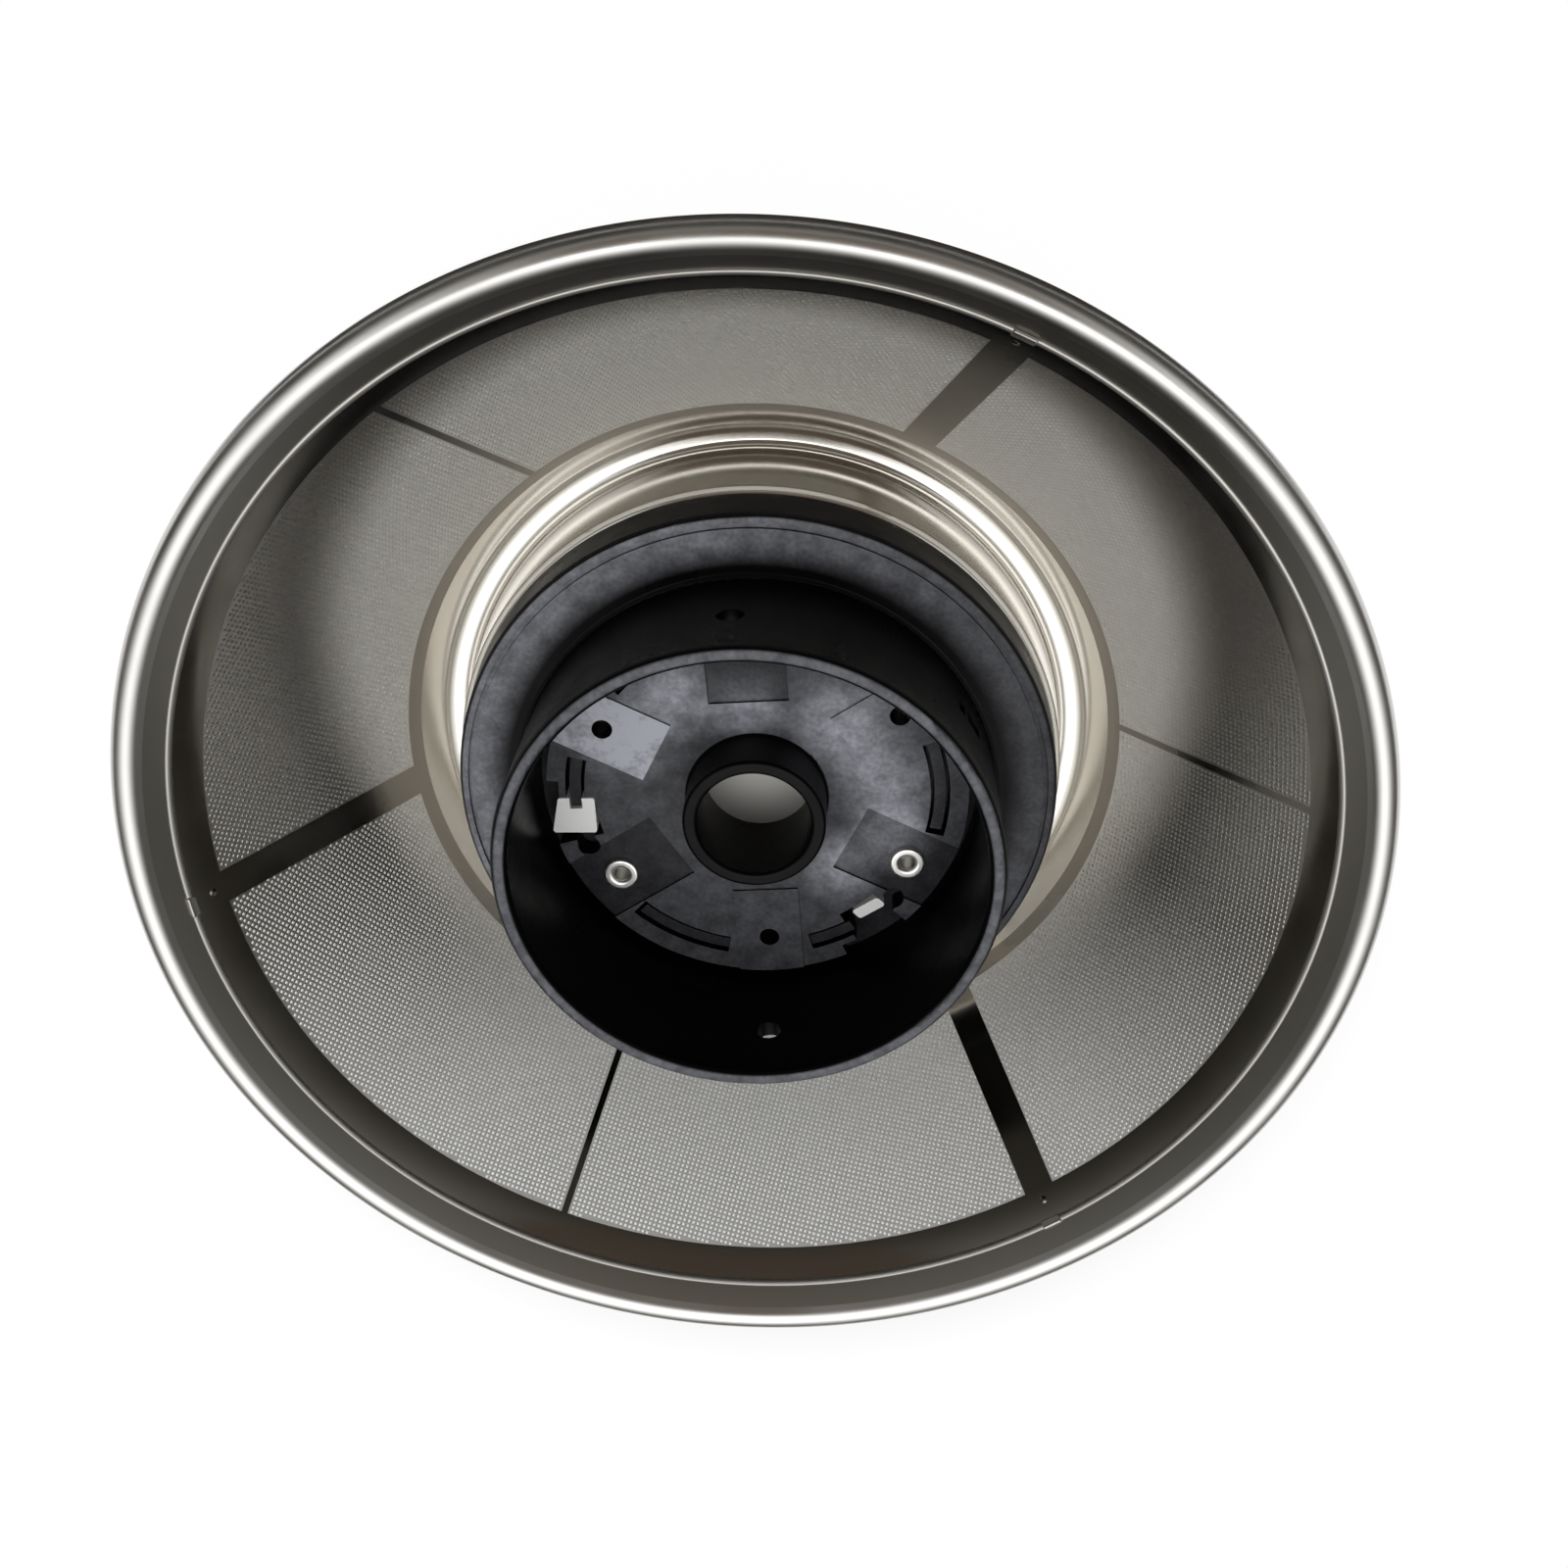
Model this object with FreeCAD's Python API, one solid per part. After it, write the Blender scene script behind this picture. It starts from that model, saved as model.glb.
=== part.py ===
import FreeCAD, Part
import math
import os
from FreeCAD import Vector

# Juicer mesh screen: a conical perforated steel basket, open upwards, with a
# moulded drive hub standing in the bowl. Millimetres, +Z up, resting on its trough.

# Sheet metal
steel_sheet = 0.6
mesh_sheet = 0.4

# Perforated cone, measured on its concave face
cone_slope = 53.0
mesh_start_height = 8.9
outer_margin = 6.0
inner_margin = 3.2
wide_strip = 6.0
thin_strip = 1.6
first_wide_strip = 6.0
sector_count = 6
gap_rows = 4
gaps_per_row = 5
gap_share = 0.56

# Rolled rim, lapped over the outer margin of the cone
rim_radius = 96.0
bead_radius = 2.3
bead_sweep = 265.0
bead_room = 2.85
rim_lap = 3.0
hem_width = 1.2
hem_rise = 0.45

# Base pan: raised centre, resting trough, flange under the inner margin of the cone
centre_height = 16.5
knee_radius = 50.6
trough_span = 11.2
trough_wall_draft = 5.0
knee_fillet = 1.4
trough_wall_fillet = 1.8
trough_cone_fillet = 3.0
pan_lap = 2.8

# Drive hub
flange_thickness = 8.0
flange_inset = 1.4
flange_draft = 0.6
flange_edge_fillet = 1.0
lip_width = 1.4
groove_width = 0.8
groove_depth = 0.6
skirt_radius = 39.2
skirt_wall = 2.7
skirt_height = 25.8
skirt_root_fillet = 0.8
skirt_lip_fillet = 1.2
plate_drop = 0.9
plate_gap = 1.5
pocket_floor = 2.5
boss_radius = 11.6
boss_height = 9.4
bore_radius = 9.3
boss_edge_fillet = 0.6
skirt_hole_radius = 2.1
skirt_hole_drop = 11.3
notch_depth = 0.8
notch_drop = 13.6
notch_height = 3.4
long_notch_from = 207.5
long_notch_to = 213.0
short_notch_from = 214.2
short_notch_to = 216.6

# Pattern on the hub plate: angles are measured from each small hole
pattern_count = 3
first_hole_angle = 94.0
hole_circle_radius = 27.9
hole_radius = 1.7
hole_pad_width = 11.2
hole_pad_start = 18.2
hole_pad_rise = 0.4
rivet_circle_radius = 28.2
rivet_pad_width = 13.0
rivet_pad_start = 17.4
rivet_pad_sink = 0.5
slot_room = 4.7
slot_width = 3.2
slot_from = 13.5
slot_to = 46.5
rail_width = 1.9
rail_drop = 0.5
plain_rail_to = 45.0
free_rail_to = 28.5
clip_rail_to = 31.0
window_room = 3.3
window_from = 27.3
window_to = 42.6
window_step = 2.7
window_step_from = 22.3
key_hole_angle = 45.7
key_hole_radius = 1.9

# Hollow rivets
rivet_shank_radius = 1.9
rivet_bore_radius = 1.2
rivet_head_radius = 3.0
rivet_head_height = 0.9
rivet_head_fillet = 0.5
rivet_flare = 0.8

# Balance clips in two of the windows: the wide one grips the end of its rail
wide_clip_third = 2
wide_clip_length = 6.6
wide_clip_width = 6.1
wide_clip_flare = 1.4
wide_clip_rise = 0.35
narrow_clip_third = 0
narrow_clip_length = 5.1
narrow_clip_width = 2.1
narrow_clip_inset = 1.2
narrow_clip_lean = 1.1
clip_corner = 0.5

# Shredding disc under the raised centre
disc_room = 4.6
disc_sheet = 0.8
tooth_rows = 9
teeth_per_row = 6
tooth_first_radius = 12.0
tooth_edge_room = 3.5
tooth_height = 1.3
tooth_length = 2.6
tooth_width = 2.0
tooth_row_lag = 23.0
tooth_root = 0.3

# Room between pieces that are pushed together
fit = 0.1

# Levels and radii that follow
slope = math.radians(cone_slope)
mesh_start_radius = knee_radius + trough_span
bead_depth = mesh_sheet + steel_sheet - bead_radius
bead_foot = mesh_start_radius + (bead_radius - steel_sheet) * math.sin(slope)
bead_slant = (rim_radius - bead_radius - bead_foot) / math.cos(slope)
mesh_end = bead_slant - bead_room
mesh_slant = mesh_end - rim_lap - outer_margin
flange_radius = knee_radius - flange_inset
disc_radius = knee_radius - disc_room
flange_top = centre_height + flange_thickness
plate_top = flange_top - plate_drop
pocket_level = centre_height + pocket_floor
skirt_top = flange_top + skirt_height
skirt_bore = skirt_radius - skirt_wall
plate_radius = skirt_bore - plate_gap
slot_circle_radius = plate_radius - slot_room
window_radius = slot_circle_radius - window_room
rivet_seat = plate_top - rivet_pad_sink
disc_top = centre_height - steel_sheet
disc_bottom = disc_top - disc_sheet

axis_foot = Vector(0, 0, 0)
axis_up = Vector(0, 0, 1)
third = 360.0 / pattern_count
sector = 360.0 / sector_count


def polar(radius, angle, z):
    turn = math.radians(angle)
    return Vector(radius * math.cos(turn), radius * math.sin(turn), z)


def on_cone(slant, depth):
    # (r, z) at a distance up the cone and a depth inwards from the outside of the mesh sheet
    rise = depth - mesh_sheet
    r = mesh_start_radius + slant * math.cos(slope) - rise * math.sin(slope)
    z = mesh_start_height + slant * math.sin(slope) + rise * math.cos(slope)
    return r, z


def on_sheet(slant, depth):
    r, z = on_cone(slant, depth)
    return Vector(r, 0, z)


def plain(point):
    return (point[0], point[1], 0)


def profile_face(corners):
    # Closed face in the r-z plane through corners of (r, z, fillet radius)
    places = [Vector(r, 0, z) for r, z, fillet in corners]
    count = len(corners)
    ends = []
    edges = []
    for i, here in enumerate(places):
        fillet = corners[i][2]
        back = (places[i - 1] - here).normalize()
        ahead = (places[(i + 1) % count] - here).normalize()
        half = back.getAngle(ahead) / 2.0
        reach = fillet / math.tan(half)
        first = here + back * reach
        last = here + ahead * reach
        ends.append((first, last))
        if fillet > 0:
            middle = (back + ahead).normalize()
            crown = here + middle * (fillet / math.sin(half) - fillet)
            edges.append(Part.Arc(first, crown, last).toShape())
    for i in range(count):
        leave = ends[i][1]
        arrive = ends[(i + 1) % count][0]
        edges.append(Part.LineSegment(leave, arrive).toShape())
    return Part.Face(Part.Wire(Part.__sortEdges__(edges)))


def sheet_outline(path, thickness):
    # A path of (r, z, fillet) corners, closed by its copy one thickness to its right
    sides = []
    for (r0, z0, f0), (r1, z1, f1) in zip(path, path[1:]):
        length = math.hypot(r1 - r0, z1 - z0)
        sides.append(((r1 - r0) / length, (z1 - z0) / length))
    copy = []
    for i, (r, z, fillet) in enumerate(path):
        before = sides[max(i - 1, 0)]
        after = sides[min(i, len(sides) - 1)]
        turn = before[0] * after[1] - before[1] * after[0]
        shift = thickness / (1.0 + before[0] * after[0] + before[1] * after[1])
        eased = fillet + math.copysign(thickness, turn) if fillet else 0
        copy.append((r + shift * (before[1] + after[1]), z - shift * (before[0] + after[0]), eased))
    return path + copy[::-1]


def turned(face, sweep=360.0, start=0.0):
    solid = face.revolve(axis_foot, axis_up, sweep)
    solid.rotate(axis_foot, axis_up, start)
    return solid


def ring_sector(inner, outer, low, high, start, end):
    corners = [(inner, low, 0), (outer, low, 0), (outer, high, 0), (inner, high, 0)]
    return turned(profile_face(corners), end - start, start)


def post(radius, circle, angle, low, high):
    return Part.makeCylinder(radius, high - low, polar(circle, angle, low))


def rivet_angles():
    return [first_hole_angle + third * (i + 0.5) for i in range(pattern_count)]


def rivet_holes(low, high):
    return [post(rivet_shank_radius + fit, rivet_circle_radius, a, low, high) for a in rivet_angles()]


def rim_ring():
    # The lap starts in a half-round hem, lies on the mesh sheet and runs on, tangent, into the rolled bead
    top = mesh_sheet + steel_sheet
    lap_start = mesh_end - rim_lap
    bead_r, bead_z = on_cone(bead_slant, bead_depth)

    def on_bead(radius, swept):
        turn = math.radians(cone_slope + 90.0 - swept)
        return Vector(bead_r + radius * math.cos(turn), 0, bead_z + radius * math.sin(turn))

    def roll(radius):
        points = [on_bead(radius, bead_sweep * share) for share in (0, 0.5, 1)]
        return Part.Arc(points[0], points[1], points[2]).toShape()

    inside = bead_radius - steel_sheet
    hem = [(lap_start, top), (lap_start + hem_width / 2, top + hem_rise), (lap_start + hem_width, top)]
    lap_lower, lap_upper, hem_crown, hem_end = [on_sheet(s, d) for s, d in [(lap_start, mesh_sheet)] + hem]
    edges = [
        Part.Arc(lap_upper, hem_crown, hem_end).toShape(),
        Part.LineSegment(hem_end, on_bead(bead_radius, 0)).toShape(),
        roll(bead_radius),
        Part.LineSegment(on_bead(bead_radius, bead_sweep), on_bead(inside, bead_sweep)).toShape(),
        roll(inside),
        Part.LineSegment(on_bead(inside, 0), lap_lower).toShape(),
        Part.LineSegment(lap_lower, lap_upper).toShape(),
    ]
    return turned(Part.Face(Part.Wire(Part.__sortEdges__(edges))))


def mesh_gap(slant, angle, width, length):
    # Square-cornered prism through the wall of the cone
    r, z = on_cone(slant, 0)
    up_wall = polar(math.cos(slope), angle, math.sin(slope)) * (length / 2)
    across = polar(1.0, angle + 90.0, 0) * (width / 2)
    through = polar(-math.sin(slope), angle, math.cos(slope))
    foot = polar(r, angle, z) - through * steel_sheet
    arms = [up_wall + across, across - up_wall, -up_wall - across, up_wall - across]
    corners = [foot + arm for arm in arms]
    outline = Part.Face(Part.makePolygon(corners + corners[:1]))
    return outline.extrude(through * (mesh_sheet + 2 * steel_sheet))


def strip_width(index):
    return wide_strip if index % 2 == 0 else thin_strip


def mesh_cone():
    # Wide and thin bare strips take turns between the perforated sectors
    ends = [(-inner_margin, 0), (mesh_end, 0), (mesh_end, mesh_sheet), (-inner_margin, mesh_sheet)]
    wall = turned(profile_face([plain(on_cone(slant, depth)) for slant, depth in ends]))
    row_pitch = mesh_slant / gap_rows
    gaps = []
    for index in range(sector_count):
        for row in range(gap_rows):
            slant = row_pitch * (row + 0.5)
            radius = on_cone(slant, mesh_sheet)[0]
            start = first_wide_strip + sector * index + math.degrees(strip_width(index) / 2 / radius)
            end = first_wide_strip + sector * (index + 1) - math.degrees(strip_width(index + 1) / 2 / radius)
            pitch = (end - start) / gaps_per_row
            width = math.radians(pitch) * radius * gap_share
            for column in range(gaps_per_row):
                gaps.append(mesh_gap(slant, start + pitch * (column + 0.5), width, row_pitch * gap_share))
    return wall.cut(gaps)


def base_pan():
    flange_end = on_cone(pan_lap - inner_margin, 0)
    drop = centre_height - steel_sheet
    wall_foot = knee_radius + drop * math.tan(math.radians(trough_wall_draft))
    cone_foot = flange_end[0] - (flange_end[1] - steel_sheet) / math.tan(slope)
    path = [
        (0, centre_height, 0),
        (knee_radius, centre_height, knee_fillet),
        (wall_foot, steel_sheet, trough_wall_fillet),
        (cone_foot, steel_sheet, trough_cone_fillet),
        plain(flange_end),
    ]
    pan = turned(profile_face(sheet_outline(path, steel_sheet)))
    return pan.cut(rivet_holes(0, flange_top))


def rail_slot(start, end, rail_start, rail_end):
    # Arc slot with a rail left standing in it
    inner = slot_circle_radius - slot_width / 2
    slot = ring_sector(inner, inner + slot_width, pocket_level, flange_top, start, end)
    rail_inner = slot_circle_radius - rail_width / 2
    rail_top = plate_top - rail_drop
    return slot.cut(ring_sector(rail_inner, rail_inner + rail_width, 0, rail_top, rail_start, rail_end))


def clip_window(angle, rail_end):
    # Stepped opening at the edge of the plate, where a clip is pushed over the end of a rail
    outer = plate_radius + fit
    step_radius = slot_circle_radius + window_step
    end = angle + window_to
    opening = ring_sector(window_radius, outer, pocket_level, flange_top, angle + window_from, end)
    step = ring_sector(step_radius, outer, pocket_level, flange_top, angle + window_step_from, end)
    rail_inner = slot_circle_radius - rail_width / 2
    rail_top = plate_top - rail_drop
    rail = ring_sector(rail_inner, rail_inner + rail_width, 0, rail_top, angle + slot_from, rail_end)
    return opening.fuse(step).cut(rail)


def radial_pad(width, start, angle, low, high):
    pad = Part.makeBox(plate_radius - start, width, high - low, Vector(start, -width / 2, low))
    pad.rotate(axis_foot, axis_up, angle)
    return pad.common(Part.makeCylinder(plate_radius, high, axis_foot))


def skirt_notch(start, end):
    high = skirt_top - notch_drop
    return ring_sector(skirt_radius - notch_depth, skirt_radius + fit, high - notch_height, high, start, end)


def drive_hub():
    lip_radius = flange_radius - lip_width
    groove_radius = lip_radius - groove_width
    groove_level = flange_top - groove_depth
    boss_top = plate_top + boss_height
    body = turned(profile_face([
        (bore_radius, centre_height, 0),
        (flange_radius + flange_draft, centre_height, 0),
        (flange_radius, flange_top, flange_edge_fillet),
        (lip_radius, flange_top, 0),
        (lip_radius, groove_level, 0),
        (groove_radius, groove_level, 0),
        (groove_radius, flange_top, 0),
        (skirt_radius, flange_top, skirt_root_fillet),
        (skirt_radius, skirt_top, skirt_lip_fillet),
        (skirt_bore, skirt_top, skirt_lip_fillet),
        (skirt_bore, pocket_level, 0),
        (plate_radius, pocket_level, 0),
        (plate_radius, plate_top, 0),
        (boss_radius, plate_top, boss_edge_fillet),
        (boss_radius, boss_top, boss_edge_fillet),
        (bore_radius, boss_top, boss_edge_fillet),
    ]))
    pad_top = plate_top + hole_pad_rise
    pads = []
    cuts = rivet_holes(0, flange_top)
    for i in range(pattern_count):
        angle = first_hole_angle + third * i
        rail_end = angle + (clip_rail_to if i == wide_clip_third else free_rail_to)
        pads.append(radial_pad(hole_pad_width, hole_pad_start, angle, pocket_level, pad_top))
        cuts.append(post(hole_radius, hole_circle_radius, angle, 0, flange_top))
        cuts.append(radial_pad(rivet_pad_width, rivet_pad_start, angle + third / 2, rivet_seat, flange_top))
        cuts.append(rail_slot(angle - slot_to, angle - slot_from, angle - plain_rail_to, angle - slot_from))
        cuts.append(rail_slot(angle + slot_from, angle + slot_to, angle + slot_from, rail_end))
        cuts.append(clip_window(angle, rail_end))
        key_angle = angle + key_hole_angle
        cuts.append(post(key_hole_radius, slot_circle_radius, key_angle, pocket_level, flange_top))
    hole_start = Vector(-skirt_radius, 0, skirt_top - skirt_hole_drop)
    side_hole = Part.makeCylinder(skirt_hole_radius, 2 * skirt_radius, hole_start, Vector(1, 0, 0))
    side_hole.rotate(axis_foot, axis_up, first_hole_angle)
    notches = [skirt_notch(long_notch_from, long_notch_to), skirt_notch(short_notch_from, short_notch_to)]
    return body.fuse(pads).cut(cuts + notches + [side_hole])


def hollow_rivets():
    low = disc_bottom - rivet_head_height
    high = rivet_seat + rivet_head_height
    rivet = turned(profile_face([
        (rivet_bore_radius, low, 0),
        (rivet_head_radius, low, rivet_head_fillet),
        (rivet_head_radius, disc_bottom, 0),
        (rivet_shank_radius, disc_bottom, 0),
        (rivet_shank_radius, rivet_seat, 0),
        (rivet_head_radius, rivet_seat, 0),
        (rivet_head_radius, high, rivet_head_fillet),
        (rivet_bore_radius, high, rivet_flare),
    ]))
    return Part.makeCompound([rivet.translated(polar(rivet_circle_radius, a, 0)) for a in rivet_angles()])


def clip_block(corners, angle, top):
    # Straight-sided block on the pocket floor, from (radial, tangential) corners at an angle
    outline = [Vector(x, y, pocket_level) for x, y in corners]
    block = Part.Face(Part.makePolygon(outline + outline[:1])).extrude(Vector(0, 0, top - pocket_level))
    upright = [edge for edge in block.Edges if abs(edge.tangentAt(edge.FirstParameter).z) > 0.5]
    block = block.makeFillet(clip_corner, upright)
    block.rotate(axis_foot, axis_up, angle)
    return block


def wide_clip():
    # Starts at the first wall of its window and spreads outwards
    angle = first_hole_angle + third * wide_clip_third
    inner = window_radius + fit
    outer = inner + wide_clip_width
    far = fit + wide_clip_length
    top = plate_top + wide_clip_rise
    corners = [(inner, fit), (outer, fit), (outer + wide_clip_flare, far), (inner, far)]
    block = clip_block(corners, angle + window_from, top)
    throat_inner = slot_circle_radius - rail_width / 2 - fit
    throat_outer = slot_circle_radius + rail_width / 2 + fit
    throat_end = angle + clip_rail_to + math.degrees(fit / slot_circle_radius)
    return block.cut(ring_sector(throat_inner, throat_outer, 0, top, angle + slot_from, throat_end))


def narrow_clip():
    # Ends at the last wall of its window and leans inwards along it
    angle = first_hole_angle + third * narrow_clip_third
    inner = window_radius + narrow_clip_inset
    outer = inner + narrow_clip_width
    far = -fit - narrow_clip_length
    corners = [(inner, -fit), (outer, -fit), (outer - narrow_clip_lean, far), (inner - narrow_clip_lean, far)]
    return clip_block(corners, angle + window_to, plate_top)


def tooth(circle, angle):
    # Pressed tooth with one steep cutting side, pointing down
    base = disc_bottom + tooth_root
    left = Vector(0, -tooth_width / 2, base)
    right = Vector(0, tooth_width / 2, base)
    tail = Vector(-tooth_length, 0, base)
    tip = Vector(0, 0, disc_bottom - tooth_height)
    corners = [(left, right, tail), (left, right, tip), (right, tail, tip), (tail, left, tip)]
    faces = [Part.Face(Part.makePolygon([a, b, c, a])) for a, b, c in corners]
    solid = Part.Solid(Part.Shell(faces))
    solid.rotate(axis_foot, axis_up, angle + 90.0)
    solid.translate(polar(circle, angle, 0))
    return solid


def shredding_disc():
    disc = Part.makeCylinder(disc_radius, disc_sheet, Vector(0, 0, disc_bottom))
    row_step = (disc_radius - tooth_edge_room - tooth_first_radius) / (tooth_rows - 1)
    clear = rivet_head_radius + tooth_length
    heads = [polar(rivet_circle_radius, a, 0) for a in rivet_angles()]
    teeth = []
    for row in range(tooth_rows):
        circle = tooth_first_radius + row * row_step
        for i in range(teeth_per_row):
            angle = 360.0 / teeth_per_row * i + row * tooth_row_lag
            if min(polar(circle, angle, 0).distanceToPoint(head) for head in heads) > clear:
                teeth.append(tooth(circle, angle))
    return disc.fuse(teeth).cut(rivet_holes(0, flange_top))


os.makedirs("parts", exist_ok=True)
pieces = {
    "rim_ring": rim_ring(),
    "mesh_cone": mesh_cone(),
    "base_pan": base_pan(),
    "shredding_disc": shredding_disc(),
    "drive_hub": drive_hub(),
    "hollow_rivets": hollow_rivets(),
    "wide_balance_clip": wide_clip(),
    "narrow_balance_clip": narrow_clip(),
}
for name, shape in pieces.items():
    shape.exportStep("parts/" + name + ".step")
    print(name, "solids", len(shape.Solids), "valid", shape.isValid(), "volume", round(shape.Volume, 1))
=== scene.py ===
import bmesh
import bpy
import math
import numpy as np
from mathutils import Matrix, Vector


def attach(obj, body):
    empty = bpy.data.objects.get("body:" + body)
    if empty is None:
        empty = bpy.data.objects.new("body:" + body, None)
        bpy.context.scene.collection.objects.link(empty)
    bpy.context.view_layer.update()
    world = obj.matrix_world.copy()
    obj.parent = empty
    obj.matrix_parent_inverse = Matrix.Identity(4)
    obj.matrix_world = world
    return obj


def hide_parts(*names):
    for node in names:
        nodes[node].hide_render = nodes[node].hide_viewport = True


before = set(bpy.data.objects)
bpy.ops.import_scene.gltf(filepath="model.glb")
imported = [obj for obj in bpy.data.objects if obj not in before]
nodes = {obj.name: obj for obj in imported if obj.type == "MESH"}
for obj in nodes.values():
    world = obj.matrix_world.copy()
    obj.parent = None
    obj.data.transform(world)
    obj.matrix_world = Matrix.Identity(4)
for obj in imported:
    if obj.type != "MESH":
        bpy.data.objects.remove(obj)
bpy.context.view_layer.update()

scene = bpy.context.scene
mm = 0.001
mergeGap = 1e-7
grainFrom = (0.3, 0.7)


# Shared helpers

def setInput(tree, socket, value):
    if isinstance(value, bpy.types.NodeSocket):
        tree.links.new(value, socket)
    else:
        socket.default_value = value


def mathValue(tree, operation, first, second):
    node = tree.nodes.new("ShaderNodeMath")
    node.operation = operation
    setInput(tree, node.inputs[0], first)
    setInput(tree, node.inputs[1], second)
    return node.outputs["Value"]


def rangeValue(tree, value, start, end, low=0.0, high=1.0, smooth=False):
    node = tree.nodes.new("ShaderNodeMapRange")
    node.interpolation_type = "SMOOTHSTEP" if smooth else "LINEAR"
    node.inputs["From Min"].default_value = start
    node.inputs["From Max"].default_value = end
    node.inputs["To Min"].default_value = low
    node.inputs["To Max"].default_value = high
    setInput(tree, node.inputs["Value"], value)
    return node.outputs["Result"]


def noiseValue(tree, scale, detail):
    place = tree.nodes.new("ShaderNodeTexCoord")
    noise = tree.nodes.new("ShaderNodeTexNoise")
    noise.inputs["Scale"].default_value = scale
    noise.inputs["Detail"].default_value = detail
    tree.links.new(place.outputs["Object"], noise.inputs["Vector"])
    return noise.outputs["Fac"]


def mixedColor(tree, factor, first, second):
    node = tree.nodes.new("ShaderNodeMix")
    node.data_type = "RGBA"
    colors = [socket for socket in node.inputs if socket.type == "RGBA"]
    for color, value in zip(colors, (first, second)):
        setInput(tree, color, value if isinstance(value, bpy.types.NodeSocket) else (*value, 1.0))
    setInput(tree, node.inputs["Factor"], factor)
    return [socket for socket in node.outputs if socket.type == "RGBA"][0]


def planeSplit(tree):
    place = tree.nodes.new("ShaderNodeTexCoord")
    split = tree.nodes.new("ShaderNodeSeparateXYZ")
    tree.links.new(place.outputs["Object"], split.inputs["Vector"])
    return split.outputs


def radiusValue(tree, split, centre=(0.0, 0.0)):
    offsets = [mathValue(tree, "SUBTRACT", split[axis], at * mm) for axis, at in zip("XY", centre)]
    squares = [mathValue(tree, "MULTIPLY", offset, offset) for offset in offsets]
    return mathValue(tree, "SQRT", mathValue(tree, "ADD", squares[0], squares[1]), 0.0)


def noiseRange(tree, look):
    noise = noiseValue(tree, look["scale"], look["detail"])
    return rangeValue(tree, noise, *look.get("from", grainFrom), *look["to"])


def newMaterial(name, look):
    material = bpy.data.materials.new(name)
    material.use_nodes = True
    tree = material.node_tree
    shader = tree.nodes["Principled BSDF"]
    shader.inputs["Base Color"].default_value = (*look["color"], 1.0)
    shader.inputs["Metallic"].default_value = look["metallic"]
    if "specular" in look:
        shader.inputs["Specular IOR Level"].default_value = look["specular"]
    tree.links.new(noiseRange(tree, look["grain"]), shader.inputs["Roughness"])
    if "bump" in look:
        bump = tree.nodes.new("ShaderNodeBump")
        bump.inputs["Distance"].default_value = look["bump"]["distance"]
        height = noiseValue(tree, look["bump"]["scale"], look["bump"]["detail"])
        tree.links.new(height, bump.inputs["Height"])
        tree.links.new(bump.outputs["Normal"], shader.inputs["Normal"])
    return material


def addDull(material, share, look):
    tree = material.node_tree
    shader = tree.nodes["Principled BSDF"]
    rough = shader.inputs["Roughness"]
    polished = rough.links[0].from_socket
    gap = mathValue(tree, "SUBTRACT", look["roughness"], polished)
    added = mathValue(tree, "MULTIPLY", gap, share)
    tree.links.new(mathValue(tree, "ADD", polished, added), rough)
    base = shader.inputs["Base Color"]
    before = base.links[0].from_socket if base.is_linked else base.default_value[:3]
    tree.links.new(mixedColor(tree, share, before, look["color"]), base)


def addPiece(name, mesh, material, node=None):
    piece = bpy.data.objects.new(name, mesh)
    scene.collection.objects.link(piece)
    mesh.materials.append(material)
    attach(piece, "root")
    if node:
        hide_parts(node)
    return piece


def meshFrom(name, points, faces, sharpDegrees):
    mesh = bpy.data.meshes.new(name)
    mesh.from_pydata([tuple(p) for p in points], [], faces)
    build = bmesh.new()
    build.from_mesh(mesh)
    bmesh.ops.remove_doubles(build, verts=build.verts, dist=mergeGap)
    bmesh.ops.recalc_face_normals(build, faces=build.faces)
    build.to_mesh(mesh)
    build.free()
    mesh.shade_smooth()
    mesh.set_sharp_from_angle(angle=math.radians(sharpDegrees))
    return mesh


def ringParts(profile, segments):
    count = len(profile)
    points = []
    faces = []
    for s in range(segments):
        turn = 2.0 * math.pi * s / segments
        for r, z in profile:
            points.append((r * math.cos(turn) * mm, r * math.sin(turn) * mm, z * mm))
        after = (s + 1) % segments
        for i in range(count):
            j = (i + 1) % count
            faces.append((s * count + i, after * count + i, after * count + j, s * count + j))
    return points, faces


def revolved(name, profile, look):
    points, faces = ringParts(profile, look["segments"])
    return meshFrom(name, points, faces, look["sharp"])


def filleted(corners, steps):
    points = []
    count = len(corners)
    for i, (r, z, fillet) in enumerate(corners):
        here = Vector((r, z))
        if fillet <= 0:
            points.append((r, z))
            continue
        back = (Vector(corners[i - 1][:2]) - here).normalized()
        ahead = (Vector(corners[(i + 1) % count][:2]) - here).normalized()
        half = back.angle(ahead) / 2.0
        reach = fillet / math.tan(half)
        middle = here + (back + ahead).normalized() * (fillet / math.sin(half))
        first = here + back * reach - middle
        last = here + ahead * reach - middle
        sweep = first.angle_signed(last)
        for k in range(steps + 1):
            arm = first.copy()
            arm.rotate(Matrix.Rotation(-sweep * k / steps, 2))
            points.append(tuple(middle + arm))
    return points


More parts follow.
